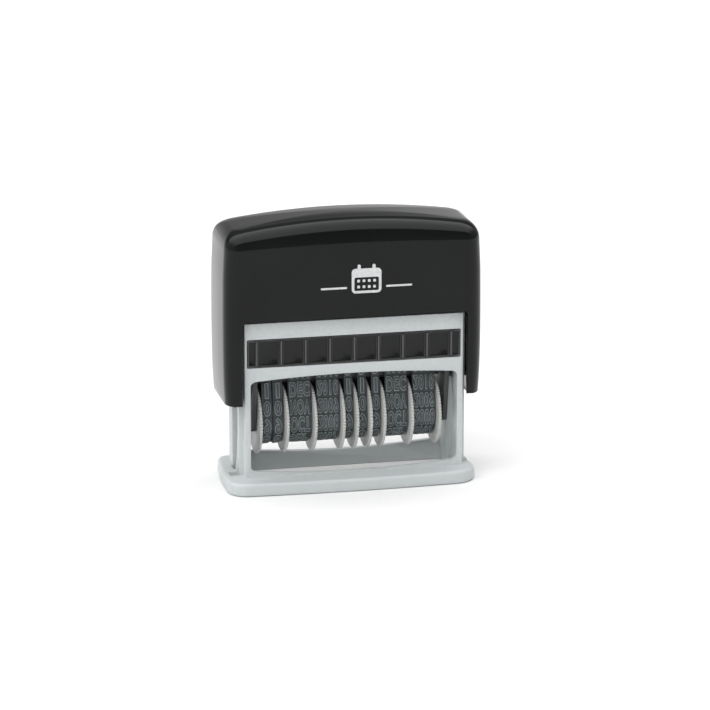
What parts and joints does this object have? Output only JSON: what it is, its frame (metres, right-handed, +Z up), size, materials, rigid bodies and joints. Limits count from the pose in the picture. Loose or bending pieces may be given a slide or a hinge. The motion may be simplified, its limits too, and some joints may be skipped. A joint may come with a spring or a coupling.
{
  "type": "self-inking rotary date stamp",
  "caption": "Self-inking rotary date stamp: a sprung black cap over a grey frame flips a carriage of rubber date bands, turned by serrated wheels, from the ink pad to the paper.",
  "frame": {"origin": "bottom centre of the bounding box, on the plane the base stands on", "axes": "+X to the right as seen from the printed front, +Y to the back, +Z up"},
  "size_m": [0.0732, 0.0322, 0.076],
  "materials": {
    "frame_grey": "satin light grey moulding",
    "wheel_grey": "satin light grey moulding",
    "band_rubber": "matt dark blue-grey",
    "cap_black": "polished black",
    "pad_black": "satin black",
    "carriage_black": "satin black",
    "ink_foam": "ink-soaked foam, matt",
    "spring_steel": "bright drawn wire"
  },
  "bodies": {
    "base": {"base_frame": "frame_grey", "spring_left": "spring_steel", "spring_right": "spring_steel"},
    "pad": {"pad_cartridge": "pad_black", "ink_pad": "ink_foam"},
    "cap": {"cap_shell": "cap_black"},
    "carriage": {"carriage_cheek_left": "carriage_black", "carriage_cheek_right": "carriage_black", "type_bridge": "carriage_black", "wheel_axle": "spring_steel", "axle_clip_left": "spring_steel", "axle_clip_right": "spring_steel", "axle_washer": "spring_steel", "band_1": "band_rubber", "band_2": "band_rubber", "band_3": "band_rubber", "band_4": "band_rubber", "band_5": "band_rubber", "band_6": "band_rubber", "band_7": "band_rubber", "band_8": "band_rubber", "band_9": "band_rubber"},
    "wheel_1": {"wheel_1": "wheel_grey"},
    "wheel_2": {"wheel_2": "wheel_grey"},
    "wheel_3": {"wheel_3": "wheel_grey"},
    "wheel_4": {"wheel_4": "wheel_grey"},
    "wheel_5": {"wheel_5": "wheel_grey"},
    "wheel_6": {"wheel_6": "wheel_grey"},
    "wheel_7": {"wheel_7": "wheel_grey"},
    "wheel_8": {"wheel_8": "wheel_grey"},
    "wheel_9": {"wheel_9": "wheel_grey"}
  },
  "joints": [
    {"name": "cap_press", "type": "slide", "parent": "base", "child": "cap", "axis": [0, 0, -1], "range_m": [0, 0.02045], "stiffness_N_per_m": 400, "springref_m": -0.015, "deforming": ["spring_left", "spring_right"]},
    {"name": "carriage_flip", "type": "hinge", "parent": "cap", "child": "carriage", "pos_m": [0, 0.00275, 0.0277], "axis": [1, 0, 0], "range_deg": [0, 180]},
    {"name": "pad_drawer", "type": "slide", "parent": "base", "child": "pad", "axis": [0, 1, 0], "range_m": [-0.022, 0]},
    {"name": "wheel_1_turn", "type": "hinge", "parent": "carriage", "child": "wheel_1", "pos_m": [0, 0.00275, 0.0172], "axis": [1, 0, 0], "continuous": true},
    {"name": "wheel_2_turn", "type": "hinge", "parent": "carriage", "child": "wheel_2", "pos_m": [0, 0.00275, 0.0172], "axis": [1, 0, 0], "continuous": true},
    {"name": "wheel_3_turn", "type": "hinge", "parent": "carriage", "child": "wheel_3", "pos_m": [0, 0.00275, 0.0172], "axis": [1, 0, 0], "continuous": true},
    {"name": "wheel_4_turn", "type": "hinge", "parent": "carriage", "child": "wheel_4", "pos_m": [0, 0.00275, 0.0172], "axis": [1, 0, 0], "continuous": true},
    {"name": "wheel_5_turn", "type": "hinge", "parent": "carriage", "child": "wheel_5", "pos_m": [0, 0.00275, 0.0172], "axis": [1, 0, 0], "continuous": true},
    {"name": "wheel_6_turn", "type": "hinge", "parent": "carriage", "child": "wheel_6", "pos_m": [0, 0.00275, 0.0172], "axis": [1, 0, 0], "continuous": true},
    {"name": "wheel_7_turn", "type": "hinge", "parent": "carriage", "child": "wheel_7", "pos_m": [0, 0.00275, 0.0172], "axis": [1, 0, 0], "continuous": true},
    {"name": "wheel_8_turn", "type": "hinge", "parent": "carriage", "child": "wheel_8", "pos_m": [0, 0.00275, 0.0172], "axis": [1, 0, 0], "continuous": true},
    {"name": "wheel_9_turn", "type": "hinge", "parent": "carriage", "child": "wheel_9", "pos_m": [0, 0.00275, 0.0172], "axis": [1, 0, 0], "continuous": true}
  ],
  "couplings": [
    {"joint": "carriage_flip", "follows": "cap_press", "rad_per_m": 153.62}
  ]
}
